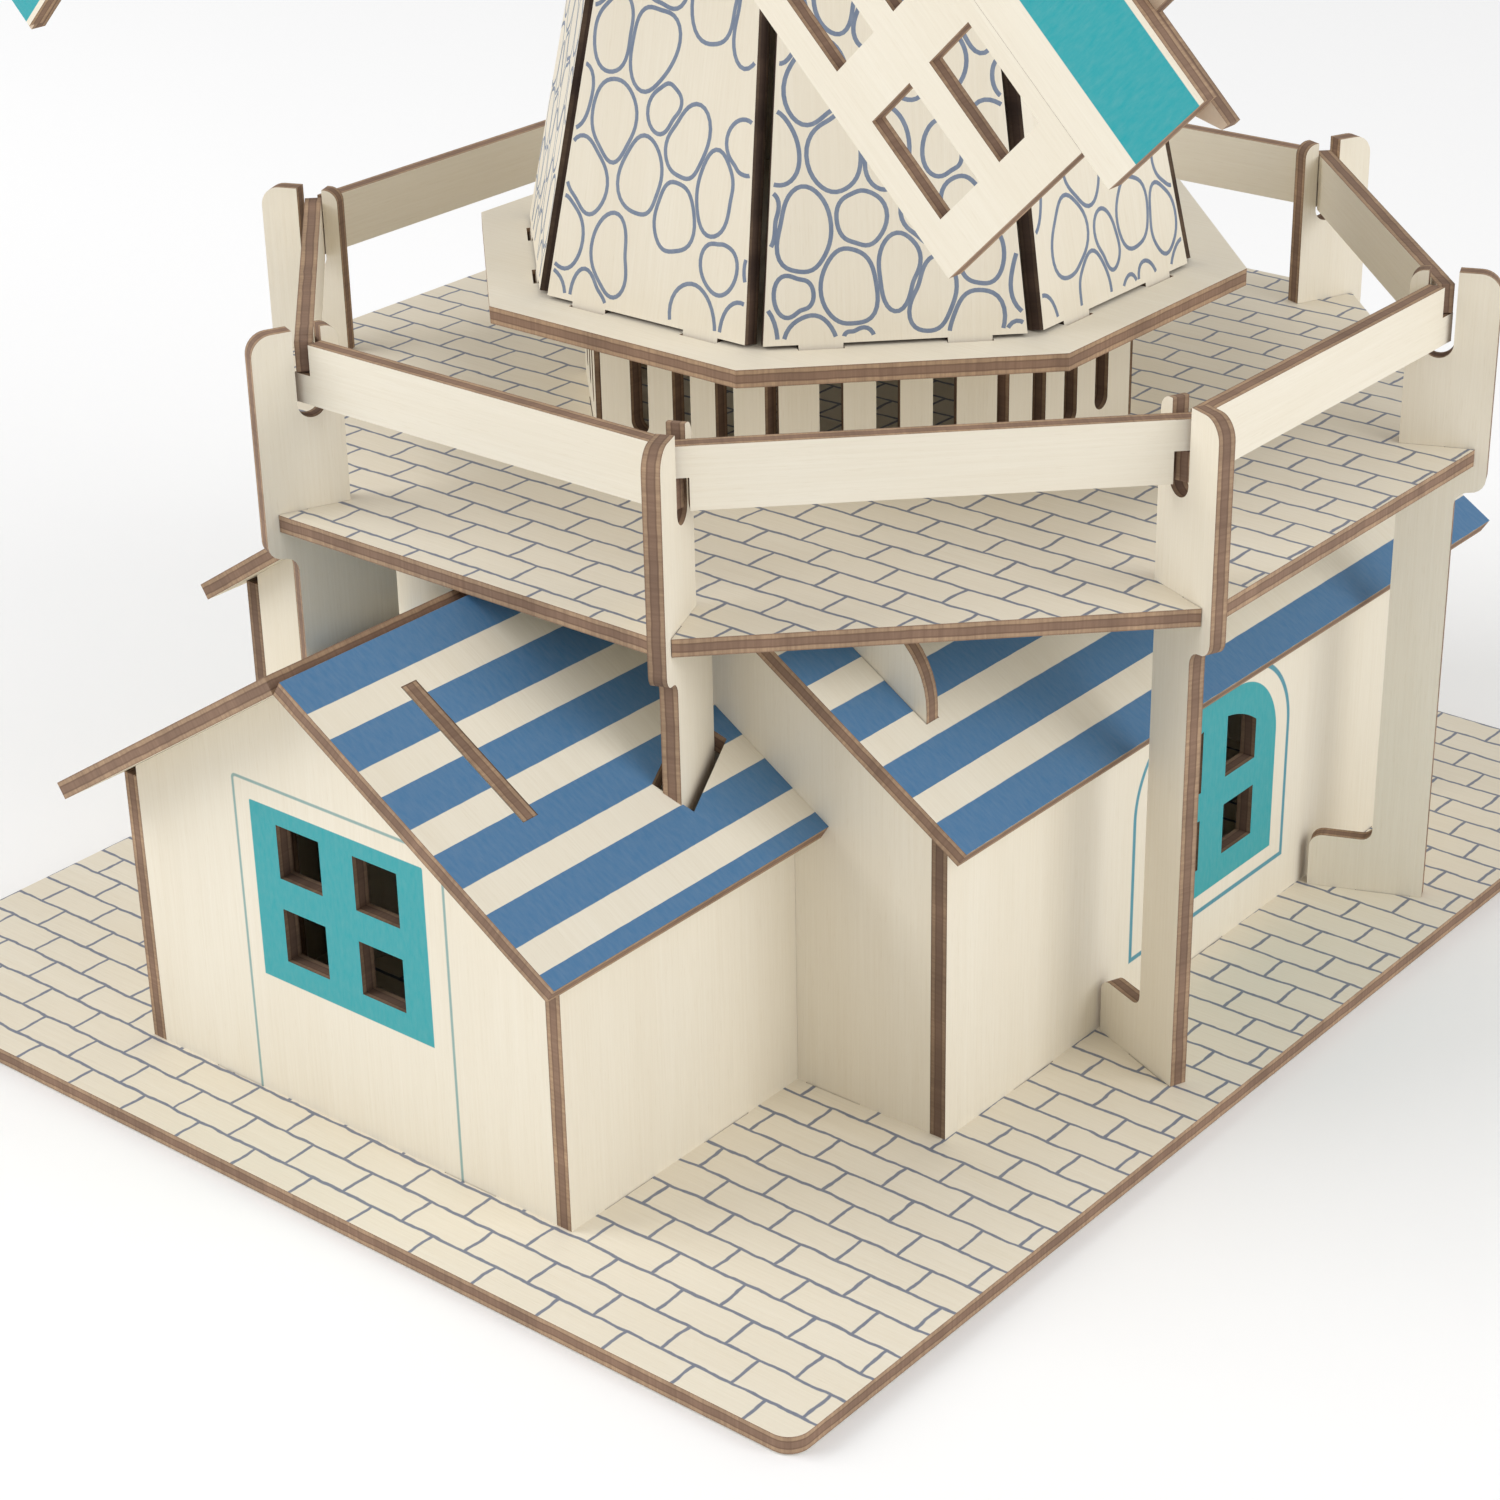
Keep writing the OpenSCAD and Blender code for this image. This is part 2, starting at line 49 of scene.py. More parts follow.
CAP_IN, CAP_EAVE_H = 5.0, 17.0           # the gables' set-back from the floor's rim, and eaves' height
STOP_OUT = 3.0                           # from the cap's back gable to the far face of the axle's stop
HUB_Z, SAIL_Y = 238.5, 75.0
HALF_TURN = math.radians(22.5)
ROOF_LEN = math.hypot(1, PITCH)
SIDES = ((-1, "left"), (1, "right"))

# ---- Layout of the prints in millimetres ----
BRICK = (11.0, 5.5)
BASE_BRICKS = (-BASE_FRONT - 1.1, 4.4)   # where one row line and one joint lie
DECK_BRICKS = (0.6, 1.5)
STRIPE_PITCH, STRIPE_BLUE = 10.0, 5.6
TEAL_BAND = (2.25, 12.95)                # on a sail board, from the arm's axis outwards
# Windows as (u0, v0, u1, v1): the teal frame, and the outline round it.
ANNEX_FRAME, ANNEX_LINE = (-14.7, 21.5, 17.1, 48.0), (-17.6, -20.0, 20.6, 50.8)
ARCH_FRAME, ARCH_LINE = (-17.0, 12.5, 17.0, 43.0), (-20.4, 9.8, 20.4, 45.2)

# ---- The cut sheet ----
GLUE_LINES = (0.72, 1.78)                # depths in the sheet, in millimetres
FACE = 0.7                               # cosine that parts the faces from the cut edges
EDGE_ROUGH = 0.78
BUMP_DEPTH = 0.0002                      # metres


def srgb(r, g, b):
    """Linear colour of an 8-bit screen colour."""
    def linear(c):
        return c / 255 / 12.92 if c < 11 else ((c / 255 + 0.055) / 1.055) ** 2.4
    return linear(r), linear(g), linear(b), 1.0


CREAM = srgb(229, 219, 199)
CREAM_DARK = srgb(213, 200, 174)
CREAM_PALE = srgb(237, 230, 214)
EDGE_VENEER = srgb(188, 158, 128)
EDGE_CORE = srgb(150, 122, 102)
GLUE = srgb(118, 92, 76)
CHAR = srgb(58, 47, 43)
BEECH = srgb(226, 196, 152)
BEECH_DARK = srgb(190, 150, 104)
BEECH_FLECK = srgb(140, 100, 64)
INK_GREY = srgb(104, 114, 136)
INK_BLUE = srgb(120, 132, 152)
INK_PALE = srgb(158, 166, 176)
INK_DEEP = srgb(100, 116, 142)
ROOF_BLUE = srgb(64, 116, 160)
TEAL = srgb(30, 158, 166)
TEAL_LINE = srgb(132, 166, 164)
TEAL_DEEP = srgb(44, 138, 160)
FLOOR_WHITE = srgb(254, 254, 254)
FLOOR_HAZE = srgb(250, 250, 251)


class Graph:
    """A node material under construction. Numbers may be sockets or floats; lengths are millimetres."""

    def __init__(self, name):
        self.mat = bpy.data.materials.new(name)
        self.mat.use_nodes = True
        self.tree = self.mat.node_tree
        self.tree.nodes.clear()
        self.coord = self.tree.nodes.new("ShaderNodeTexCoord")

    def put(self, socket, value):
        if isinstance(value, bpy.types.NodeSocket):
            self.tree.links.new(value, socket)
        elif value is not None:
            socket.default_value = value

    def math(self, op, a, b=None, c=None, clamp=False):
        n = self.tree.nodes.new("ShaderNodeMath")
        n.operation = op
        n.use_clamp = clamp
        for i, x in enumerate((a, b, c)):
            self.put(n.inputs[i], x)
        return n.outputs[0]

    def add(self, a, b):
        return self.math("ADD", a, b)

    def sub(self, a, b):
        return self.math("SUBTRACT", a, b)

    def mul(self, a, b):
        return self.math("MULTIPLY", a, b)

    def abs(self, a):
        return self.math("ABSOLUTE", a)

    def low(self, a, b):
        return self.math("MINIMUM", a, b)

    def high(self, a, b):
        return self.math("MAXIMUM", a, b)

    def scaled(self, x, slope, start):
        """slope * x + start."""
        return self.math("MULTIPLY_ADD", x, slope, start)

    def fraction(self, x, slope, start):
        """slope * x + start, kept between 0 and 1."""
        return self.math("MULTIPLY_ADD", x, slope, start, clamp=True)

    def above(self, x, edge, soft=0.1):
        """1 where x is above edge, 0 below it, blended over the width soft."""
        return self.fraction(self.sub(x, edge), 1.0 / soft, 0.5)

    def below(self, x, edge, soft=0.1):
        return self.fraction(self.sub(x, edge), -1.0 / soft, 0.5)

    def between(self, x, a, b, soft=0.1):
        return self.mul(self.above(x, a, soft), self.below(x, b, soft))

    def blend(self, fac, a, b):
        """The number a where fac is 0, and b where it is 1."""
        return self.add(self.mul(fac, b), self.mul(self.sub(1.0, fac), a))

    def mix(self, fac, a, b):
        """The colour a where fac is 0, and b where it is 1."""
        n = self.tree.nodes.new("ShaderNodeMix")
        n.data_type = "RGBA"
        self.put(n.inputs["Factor"], fac)
        sockets = [s for s in n.inputs if s.type == "RGBA"]
        self.put(sockets[0], a)
        self.put(sockets[1], b)
        return [s for s in n.outputs if s.type == "RGBA"][0]

    def vec(self, x, y, z=0.0):
        n = self.tree.nodes.new("ShaderNodeCombineXYZ")
        for i, v in enumerate((x, y, z)):
            self.put(n.inputs[i], v)
        return n.outputs[0]

    def stretch(self, u, v, per_u, per_v, depth):
        """A place to look up noise at, with its own number of features per millimetre each way."""
        return self.vec(self.mul(u, per_u), self.mul(v, per_v), depth)

    def dot(self, v, w):
        n = self.tree.nodes.new("ShaderNodeVectorMath")
        n.operation = "DOT_PRODUCT"
        self.put(n.inputs[0], v)
        self.put(n.inputs[1], tuple(w))
        return n.outputs["Value"]

    def millimetres(self):
        """The object's own x, y and z."""
        p = self.coord.outputs["Object"]
        return (self.mul(self.dot(p, axis), 1000.0) for axis in ((1, 0, 0), (0, 1, 0), (0, 0, 1)))

    def noise(self, v, scale=1.0, detail=2.0, rough=0.5):
        n = self.tree.nodes.new("ShaderNodeTexNoise")
        self.put(n.inputs["Vector"], v)
        for key, x in (("Scale", scale), ("Detail", detail), ("Roughness", rough)):
            n.inputs[key].default_value = x
        return n.outputs[0]

    def finish(self, colour, rough, height, bump=0.25, spec=0.25):
        shader = self.tree.nodes.new("ShaderNodeBsdfPrincipled")
        self.put(shader.inputs["Base Color"], colour)
        self.put(shader.inputs["Roughness"], rough)
        shader.inputs["Specular IOR Level"].default_value = spec
        b = self.tree.nodes.new("ShaderNodeBump")
        b.inputs["Strength"].default_value = bump
        b.inputs["Distance"].default_value = BUMP_DEPTH
        self.put(b.inputs["Height"], height)
        self.put(shader.inputs["Normal"], b.outputs["Normal"])
        out = self.tree.nodes.new("ShaderNodeOutputMaterial")
        self.put(out.inputs["Surface"], shader.outputs[0])
        return self.mat


# ---- Where a sheet lies: each place returns (u, v, w, facing) in the sheet's own frame ----
def plane(origin, u, v, w):
    """A flat sheet with its back face through origin (mm) and its front facing along w."""
    o, u, v, w = (Vector(x) for x in (origin, u, v, w))

    def local(g):
        p, n = g.coord.outputs["Object"], g.coord.outputs["Normal"]
        parts = [g.scaled(g.dot(p, x), 1000.0, -x.dot(o)) for x in (u, v, w)]
        return (*parts, g.dot(n, w))

    return local


def facing_front(y):
    """An upright sheet whose front face looks to the front from y."""
    return plane((0, y + T, 0), (1, 0, 0), (0, 0, 1), (0, -1, 0))


def facing_back(y):
    return plane((0, y - T, 0), (1, 0, 0), (0, 0, 1), (0, 1, 0))


def upright(angle, distance, z=0.0, lean=0.0):
    """A sheet facing outwards at the angle in degrees, its front at the distance from the axis at z."""
    a = math.radians(angle)
    out = Vector((math.cos(a), math.sin(a), 0))
    side = Vector((-math.sin(a), math.cos(a), 0))
    up = Vector((0, 0, 1))
    w = out * math.cos(lean) + up * math.sin(lean)
    v = up * math.cos(lean) - out * math.sin(lean)
    return plane(out * distance + up * z - w * T, side, v, w)


def radial(angle):
    """A sheet standing along a ray from the axis."""
    a = math.radians(angle)
    side = Vector((-math.sin(a), math.cos(a), 0))
    return plane(side * (-T / 2), (math.cos(a), math.sin(a), 0), (0, 0, 1), side)


def flat(z):
    return plane((0, 0, z), (1, 0, 0), (0, 1, 0), (0, 0, 1))


def roof_place(s, pitch, x, z):
    """A roof panel on the side s; its underside is at the height z where it is x from the ridge line."""
    k = math.hypot(1, pitch)
    return plane((s * x, 0, z), (0, 1, 0), (s / k, 0, -pitch / k), (s * pitch / k, 0, 1 / k))


def arm_place(i):
    a = math.radians(90 * i - 45)
    along = (math.cos(a), 0, math.sin(a))
    across = (-math.sin(a), 0, math.cos(a))
    return plane((0, -SAIL_Y + T / 2, HUB_Z), along, across, (0, -1, 0))


def ring(turn, near):
    """Four sheets round the axis, their back faces at the distance near from it; turn is in degrees."""
    a = math.radians(turn)

    def local(g):
        p, n = g.coord.outputs["Object"], g.coord.outputs["Normal"]
        ways = (Vector((math.cos(a), math.sin(a), 0)), Vector((-math.sin(a), math.cos(a), 0)))
        d1, d2 = (g.abs(g.mul(g.dot(p, e), 1000.0)) for e in ways)
        n1, n2 = (g.abs(g.dot(n, e)) for e in ways)
        first = g.above(g.sub(d1, d2), 0.0, 0.001)
        up = g.mul(g.dot(p, (0, 0, 1)), 1000.0)
        return g.low(d1, d2), up, g.sub(g.high(d1, d2), near), g.blend(first, n2, n1)

    return local


# ---- The sheet itself: veneer on the faces, burnt layers on the cut edges ----
def veneer(g, u, v, seed):
    """Pale grain running along v: figure, fine fibres, short pores and mottle. Returns colour and height."""
    broad = g.noise(g.stretch(u, v, 0.09, 0.011, seed), 1.0, 3.0, 0.55)
    fibre = g.noise(g.stretch(u, v, 2.6, 0.05, seed + 3.1), 1.0, 4.0, 0.65)
    pore = g.noise(g.stretch(u, v, 6.5, 0.35, seed + 7.7), 1.0, 1.0, 0.5)
    mottle = g.noise(g.vec(u, v, seed + 11.0), 0.035, 2.0, 0.5)
    colour = g.mix(g.fraction(broad, 1.3, -0.4), CREAM_PALE, CREAM)
    colour = g.mix(g.fraction(fibre, 0.6, -0.2), colour, CREAM_DARK)
    colour = g.mix(g.mul(g.above(pore, 0.68, 0.08), 0.18), colour, CREAM_DARK)
    colour = g.mix(g.fraction(mottle, 0.5, -0.17), colour, CREAM)
    return colour, g.add(g.mul(fibre, 0.5), g.mul(pore, 0.2))


def cut_edge(g, u, v, w, seed, burn):
    """Three plies seen end on, browned by the laser, with glue lines. Returns colour and height."""
    stria = g.noise(g.stretch(u, v, 2.2, 2.2, g.add(g.mul(w, 0.15), seed)), 1.0, 3.0, 0.6)
    patch = g.noise(g.stretch(u, v, 0.12, 0.12, seed + 5.0), 1.0, 2.0, 0.5)
    wobble = g.scaled(g.noise(g.stretch(u, v, 0.3, 0.3, seed)), 0.3, -0.15)
    depth = g.add(w, wobble)
    core = g.between(depth, *GLUE_LINES, 0.12)
    line = g.low(*(g.abs(g.sub(depth, at)) for at in GLUE_LINES))
    colour = g.mix(core, EDGE_VENEER, EDGE_CORE)
    colour = g.mix(g.mul(g.below(line, 0.1, 0.1), 0.75), colour, GLUE)
    rim = g.low(w, g.sub(T, w))
    colour = g.mix(g.mul(g.below(rim, 0.14, 0.2), 0.55), colour, GLUE)
    colour = g.mix(g.fraction(stria, 1.2, -0.38), colour, GLUE)
    soot = g.fraction(patch, 0.8, burn - 0.4)
    return g.mix(soot, colour, CHAR), g.mul(stria, 1.2)


def sheet(name, place, prints=None, burn=0.12, seed=0.0, across=False):
    """Plywood with its grain along v, or along u if across. prints(g, u, v, wood) inks the front face."""
    g = Graph(name)
    u, v, w, facing = place(g)
    wood, fibre = veneer(g, v, u, seed) if across else veneer(g, u, v, seed)
    edge, stria = cut_edge(g, u, v, w, seed, burn)
    rough = g.scaled(fibre, 0.2, 0.5)
    if prints:
        inked, gloss = prints(g, u, v, wood)
        front = g.above(facing, FACE, 0.02)
        wood = g.mix(front, wood, inked)
        rough = g.sub(rough, g.mul(g.mul(front, gloss), 0.1))
    face = g.above(g.abs(facing), FACE, 0.02)
    colour = g.mix(face, edge, wood)
    return g.finish(colour, g.blend(face, EDGE_ROUGH, rough), g.blend(face, stria, fibre))


# ---- Prints: what a sheet takes as prints returns the colour, and how much smoother the ink is ----
def ink(g, u, v, colour, tint, amount, strength):
    """Lays ink of one tint over the wood, thin enough for the grain to show through a little."""
    worn = g.noise(g.stretch(u, v, 1.7, 0.5, 2.0), 1.0, 3.0, 0.6)
    return g.mix(g.mul(amount, g.fraction(worn, -0.12, strength + 0.06)), colour, tint)


def bricks(row0, joint0):
    """Running-bond brick outlines; one row line lies at v = row0 and one joint of its row at u = joint0."""
    def prints(g, u, v, wood):
        x = g.scaled(g.sub(g.noise(g.vec(u, v, 0.0), 0.22), 0.5), 0.9, u)
        y = g.scaled(g.sub(g.noise(g.vec(u, v, 9.0), 0.22), 0.5), 0.9, v)
        row = g.mul(g.sub(y, row0), 1 / BRICK[1])
        index = g.math("FLOOR", row)
        shift = g.mul(g.math("FLOORED_MODULO", index, 2.0), 0.5)
        col = g.add(g.mul(g.sub(x, joint0), 1 / BRICK[0]), shift)
        to_row = g.mul(g.math("PINGPONG", row, 0.5), BRICK[1])
        to_col = g.mul(g.math("PINGPONG", col, 0.5), BRICK[0])
        weight = g.noise(g.vec(u, v, 4.0), 0.5, 2.0, 0.6)
        line = g.below(g.low(to_row, to_col), g.scaled(weight, 0.24, 0.13), 0.12)
        tone = g.noise(g.vec(col, g.mul(index, 3.7), 1.0), 0.9, 0.0)
        colour = g.mix(g.mul(tone, 0.12), wood, CREAM_DARK)
        return ink(g, u, v, colour, INK_GREY, line, 0.9), line
    return prints


def stripes(way=1.0):
    """Blue bands parallel to the ridge, starting at v = 0 down the slope, or up it where way is -1."""
    def prints(g, u, v, wood):
        waver = g.mul(g.sub(g.noise(g.vec(g.mul(u, 0.4), v, 3.0)), 0.5), 0.12)
        x = g.math("FLOORED_MODULO", g.add(g.mul(v, way), waver), STRIPE_PITCH)
        band = g.between(x, 0.0, STRIPE_BLUE)
        return ink(g, u, v, wood, ROOF_BLUE, band, 0.95), band
    return prints


def box_inside(g, u, v, low, high, radius):
    """Signed distance, positive inside, of a rectangle with rounded corners."""
    cx, cy = (low[0] + high[0]) / 2, (low[1] + high[1]) / 2
    hx, hy = (high[0] - low[0]) / 2 - radius, (high[1] - low[1]) / 2 - radius
    dx, dy = g.sub(g.abs(g.sub(u, cx)), hx), g.sub(g.abs(g.sub(v, cy)), hy)
    ox, oy = g.high(dx, 0.0), g.high(dy, 0.0)
    out = g.math("SQRT", g.add(g.mul(ox, ox), g.mul(oy, oy)))
    return g.sub(radius, g.add(out, g.low(g.high(dx, dy), 0.0)))


def window(frame_box, line_box, frame_r, line_r, line_w, tint):
    """A teal window frame and an outline round it, both rounded at the top by their own radius."""
    def inside(g, u, v, box, radius):
        rounded = box_inside(g, u, v, (box[0], box[1] - 2 * radius), box[2:], radius)
        return g.low(rounded, g.sub(v, box[1]))

    def prints(g, u, v, wood):
        teal = g.above(inside(g, u, v, frame_box, frame_r), 0.0, 0.12)
        line = g.below(g.abs(inside(g, u, v, line_box, line_r)), line_w / 2, 0.16)
        colour = ink(g, u, v, wood, tint, line, 0.9)
        return ink(g, u, v, colour, TEAL, teal, 0.95), teal
    return prints


def sail_teal(g, u, v, wood):
    """Teal from the arm's plain strip almost to the outer edge, where a bare rim is left."""
    band = g.between(v, *TEAL_BAND)
    return ink(g, u, v, wood, TEAL, band, 0.97), band


def shaded_strip_face(g, u, v, wood):
    """A narrow strip's face behind the sail boards, painted browner all over in patches as painted shade for
    the boards' shadow on it.
    """
    patch = g.noise(g.vec(u, v, 6.0), 0.4, 3.0, 0.6)
    return g.mix(g.fraction(patch, 0.5, 0.45), wood, EDGE_VENEER), patch


def beech():
    """Turned dowel: straight grain along Y with dark flecks."""
    g = Graph("dowel")
    x, y, z = g.millimetres()
    grain = g.noise(g.vec(g.mul(x, 1.8), g.mul(y, 0.06), g.mul(z, 1.8)), 1.0, 4.0, 0.6)
    fleck = g.noise(g.vec(g.mul(x, 4.0), g.mul(y, 0.5), g.mul(z, 4.0)), 1.0, 1.0, 0.5)
    colour = g.mix(grain, BEECH, BEECH_DARK)
    colour = g.mix(g.mul(g.above(fleck, 0.64, 0.05), 0.5), colour, BEECH_FLECK)
    return g.finish(colour, 0.5, grain)


# ---- Painting every node ----
def paint(node, material):
    mesh = nodes[node].data
    mesh.materials.clear()
    mesh.materials.append(material)


def clad(node, place, prints=None, **looks):
    """Paints a node as plywood that lies at the place."""
    paint(node, sheet(node, place, prints, **looks))


def paint_ground():
    clad("base_plate", flat(0), bricks(*BASE_BRICKS), burn=0.1, across=True)
    clad("deck_plate", flat(DECK_Z), bricks(*DECK_BRICKS), burn=0.1, seed=2.0, across=True)
    clad("collar_plate", flat(COLLAR_Z), burn=0.05, seed=3.0, across=True)
    clad("cap_floor", flat(TOWER_TOP), burn=0.1, seed=4.0)


def paint_annex():
    square = window(ANNEX_FRAME, ANNEX_LINE, frame_r=0.3, line_r=0.6, line_w=0.45, tint=TEAL_LINE)
    clad("annex_gable", facing_front(-ANNEX_FRONT), square, burn=0.5, seed=5.0)
    clad("annex_frame", facing_front(-PARTITION_FRONT), burn=0.2, seed=6.0)
    ridge = DECK_Z - RIDGE_GAP - T / ROOF_LEN
    for s, side in SIDES:
        clad("annex_wall_" + side, upright(90 - 90 * s, ANNEX_HALF), burn=0.15, seed=7.0 + s)
        clad("annex_roof_" + side, roof_place(s, PITCH, 0.0, ridge), stripes(), burn=0.18, seed=9.0 + s)


def paint_house():
    arch = window(ARCH_FRAME, ARCH_LINE, frame_r=11.5, line_r=13.5, line_w=0.75, tint=TEAL_DEEP)
    clad("house_gable_front", facing_front(-HOUSE_FRONT), burn=0.18, seed=12.0)
    clad("house_gable_back", facing_back(HOUSE_FRONT), arch, burn=0.5, seed=13.0)
    clad("house_frame", facing_front(-RIB_FRONT), burn=0.18, seed=14.0)
    eave = T + HOUSE_WALL - PITCH * OVERHANG
    for s, side in SIDES:
        clad("house_wall_" + side, upright(90 - 90 * s, HOUSE_HALF), arch, burn=0.5, seed=15.0 + s)
        roof = roof_place(s, PITCH, HOUSE_HALF + OVERHANG, eave)
        clad("house_roof_" + side, roof, stripes(-1.0), burn=0.18, seed=18.0 + s)


def paint_deck():
    rail_out = RAIL_R * math.cos(HALF_TURN) + T / 2
    for i in range(8):
        clad("post_%d" % (i + 1), radial(-67.5 + 45 * i), burn=0.2, seed=20.0 + i)
        clad("rail_%d" % (i + 1), upright(-90 + 45 * i, rail_out), burn=0.12, seed=30.0 + i, across=True)
    drum_in = DRUM_R * math.cos(HALF_TURN) - T
    clad("drum_side_panels", ring(0, drum_in), burn=0.35, seed=40.0)
    clad("drum_corner_panels", ring(45, drum_in), burn=0.35, seed=41.0)


def tower_sizes():
    """Lean of a tower panel, half its width at the foot and at the top, and its length."""
    near, far = (r * math.cos(HALF_TURN) for r in (TOWER_TOP_R, TOWER_R))
    lean = math.atan((far - near) / (TOWER_TOP - COLLAR_Z - T))
    top, foot = ((a - T / math.cos(lean)) * math.tan(HALF_TURN) - PANEL_GAP for a in (near, far))
    return lean, foot, top, (TOWER_TOP - COLLAR_Z - T) / math.cos(lean)


def paint_tower():
    lean = tower_sizes()[0]
    for i in range(8):
        place = upright(-90 + 45 * i, TOWER_R * math.cos(HALF_TURN), COLLAR_Z + T, lean)
        clad("tower_panel_%d" % (i + 1), place, burn=0.8, seed=50.0 + i)


def paint_cap():
    pitch = (CAP_H - CAP_EAVE_H) / (CAP_HALF - CAP_IN)
    clad("cap_gable_front", facing_front(-CAP_FRONT + CAP_IN), burn=0.18, seed=60.0)
    clad("cap_gable_back", facing_back(CAP_BACK - CAP_IN), burn=0.18, seed=61.0)
    for s, side in SIDES:
        roof = roof_place(s, pitch, 0.0, TOWER_TOP + T + CAP_H)
        clad("cap_roof_" + side, roof, stripes(), burn=0.18, seed=62.0 + s)


def paint_sails():
    for i in range(4):
        clad("sail_lattice_%d" % (i + 1), arm_place(i), burn=0.12, seed=70.0 + i, across=True)
        clad("sail_board_%d" % (i + 1), arm_place(i), sail_teal, burn=0.12, seed=75.0 + i, across=True)
    behind = facing_front(-SAIL_Y + T / 2)
    # The back strips' faces carry painted shade: browner all over, standing in for the sail boards' shadow
    # on them.
    clad("sail_back_strips", behind, shaded_strip_face, burn=0.2, seed=80.0)
    clad("hub_plate", behind, burn=0.15, seed=81.0)
    clad("hub_cap", facing_front(-SAIL_Y - T / 2 - T), burn=0.15, seed=82.0)
    clad("axle_stop", facing_back(CAP_BACK - CAP_IN + STOP_OUT), burn=0.15, seed=83.0)
    paint("axle", beech())


# ---- Cobbles printed on the tower: thin ribbons of ink on every panel's face, in millimetres ----
COBBLE = (6.7, 8.9)                      # spacing along a row, and from row to row
STRAY = (2.1, 2.8)                       # how far a cobble strays from its place
TALL = 1.45                              # height over width
SMALLS = 0.3                             # share of small cobbles
WEIGHT, SMALL_WEIGHT = (-5, 8), (-11, -6)
REACH, SIGHT = 5.6, 18.0                 # longest reach to the side, and how far neighbours matter
LONG = (1.75, 0.8)                       # the longest reach is the shortest times this, and this more
LEAST = 1.25                             # a cobble that reaches less is left out
GROUT = 0.5                              # from an outline to the border of its neighbour's room
TURNS = 40                               # points in an outline
SPREAD, BELL = 6, 2.1                    # points each way that smooth an outline, and their weights' width
FOOT_RIM, TOP_RIM = 1.4, 0.4             # bare ends of a panel
INK_W, INK_H, INK_SUNK = 0.8, 0.03, 0.01
SEED = 7


def cobble_seeds(rng, foot, length):
    """Staggered rows of (u, v, weight). A heavier cobble takes room from its neighbours; some are small."""
    seeds = []
    for row in range(-1, int(length / COBBLE[1]) + 2):
        for col in range(-1, int(2 * foot / COBBLE[0]) + 2):
            u = -foot + COBBLE[0] * (col + 0.5 * (row % 2))
            weight = rng.uniform(*(SMALL_WEIGHT if rng.random() < SMALLS else WEIGHT))
            u += rng.uniform(-STRAY[0], STRAY[0])
            v = COBBLE[1] * row + rng.uniform(-STRAY[1], STRAY[1])
            seeds.append((u, v, weight))
    return seeds


def cobble_outline(seeds, i):
    """A smooth closed outline round the seed i that stops short of every neighbour's, or nothing."""
    u, v, weight = seeds[i]
    angles = [2 * math.pi * k / TURNS for k in range(TURNS)]
    reach = [REACH] * TURNS
    for j, (nu, nv, other) in enumerate(seeds):
        du, dv = nu - u, (nv - v) / TALL
        gap = math.hypot(du, dv)
        if j == i or gap > SIGHT:
            continue
        half = (gap * gap + weight - other) / (2 * gap)
        for k, a in enumerate(angles):
            toward = (math.cos(a) * du + math.sin(a) * dv) / gap
            if toward > 0.05:
                reach[k] = min(reach[k], half / toward)
    longest = max(min(reach), 0.0) * LONG[0] + LONG[1]
    reach = [min(r, longest) for r in reach]
    steps = range(-SPREAD, SPREAD + 1)
    bell = [math.exp(-0.5 * (d / BELL) ** 2) for d in steps]
    smooth = [sum(w * reach[(k + d) % TURNS] for w, d in zip(bell, steps)) / sum(bell)
              for k in range(TURNS)]
    if min(smooth) < LEAST:
        return []
    return [Vector((u + (r - GROUT) * math.cos(a), v + (r - GROUT) * math.sin(a) * TALL))
            for r, a in zip(smooth, angles)]


def runs_inside(line, inside):
    """Splits a closed line into the stretches inside, each with whether it is still a whole loop."""
    n = len(line)
    keep = [inside(p) for p in line]
    if all(keep):
        return [(line, True)]
    runs = []
    for k in range(n):
        if keep[k] and not keep[k - 1]:
            run = [edge_point(line[k], line[k - 1], inside)]
            m = k
            while keep[m % n]:
                run.append(line[m % n])
                m += 1
            run.append(edge_point(line[(m - 1) % n], line[m % n], inside))
            runs.append((run, False))
    return runs


def edge_point(near, far, inside):
    """The last point inside on the way from near to far, and never quite near itself."""
    low, high = 0.0, 1.0
    for _ in range(12):
        mid = (low + high) / 2
        if inside(near.lerp(far, mid)):
            low = mid
        else:
            high = mid
    return near.lerp(far, max(low, 0.02))


def ribbon(verts, faces, line, closed, lift):
    """Adds a watertight ribbon of ink along the line, three points to a ring: both edges and the crown."""
    n, first = len(line), len(verts)
    for k, p in enumerate(line):
        ahead = line[(k + 1) % n] if closed or k < n - 1 else p
        behind = line[k - 1] if closed or k > 0 else p
        along = (ahead - behind).normalized()
        side = Vector((-along.y, along.x)) * (INK_W / 2)
        verts += [lift(p + side, -INK_SUNK), lift(p, INK_H), lift(p - side, -INK_SUNK)]
    for k in range(n if closed else n - 1):
        a, b = first + 3 * k, first + 3 * ((k + 1) % n)
        faces += [(a + e, a + (e + 1) % 3, b + (e + 1) % 3, b + e) for e in range(3)]
    if not closed:
        last = first + 3 * (n - 1)
        faces += [(first + 2, first + 1, first), (last, last + 1, last + 2)]


def stone_ink():
    """Grey-blue ink, a little paler where the wood drinks it."""
    g = Graph("stone_ink")
    x, y, z = g.millimetres()
    drunk = g.noise(g.vec(g.mul(x, 1.6), g.mul(y, 1.6), g.mul(z, 0.5)), 1.0, 3.0, 0.6)
    tone = g.noise(g.vec(x, y, z), 0.09, 1.0)
    colour = g.mix(g.fraction(drunk, 1.2, -0.45), INK_BLUE, INK_PALE)
    colour = g.mix(g.mul(tone, 0.5), colour, INK_DEEP)
    return g.finish(colour, 0.55, drunk, bump=0.1)


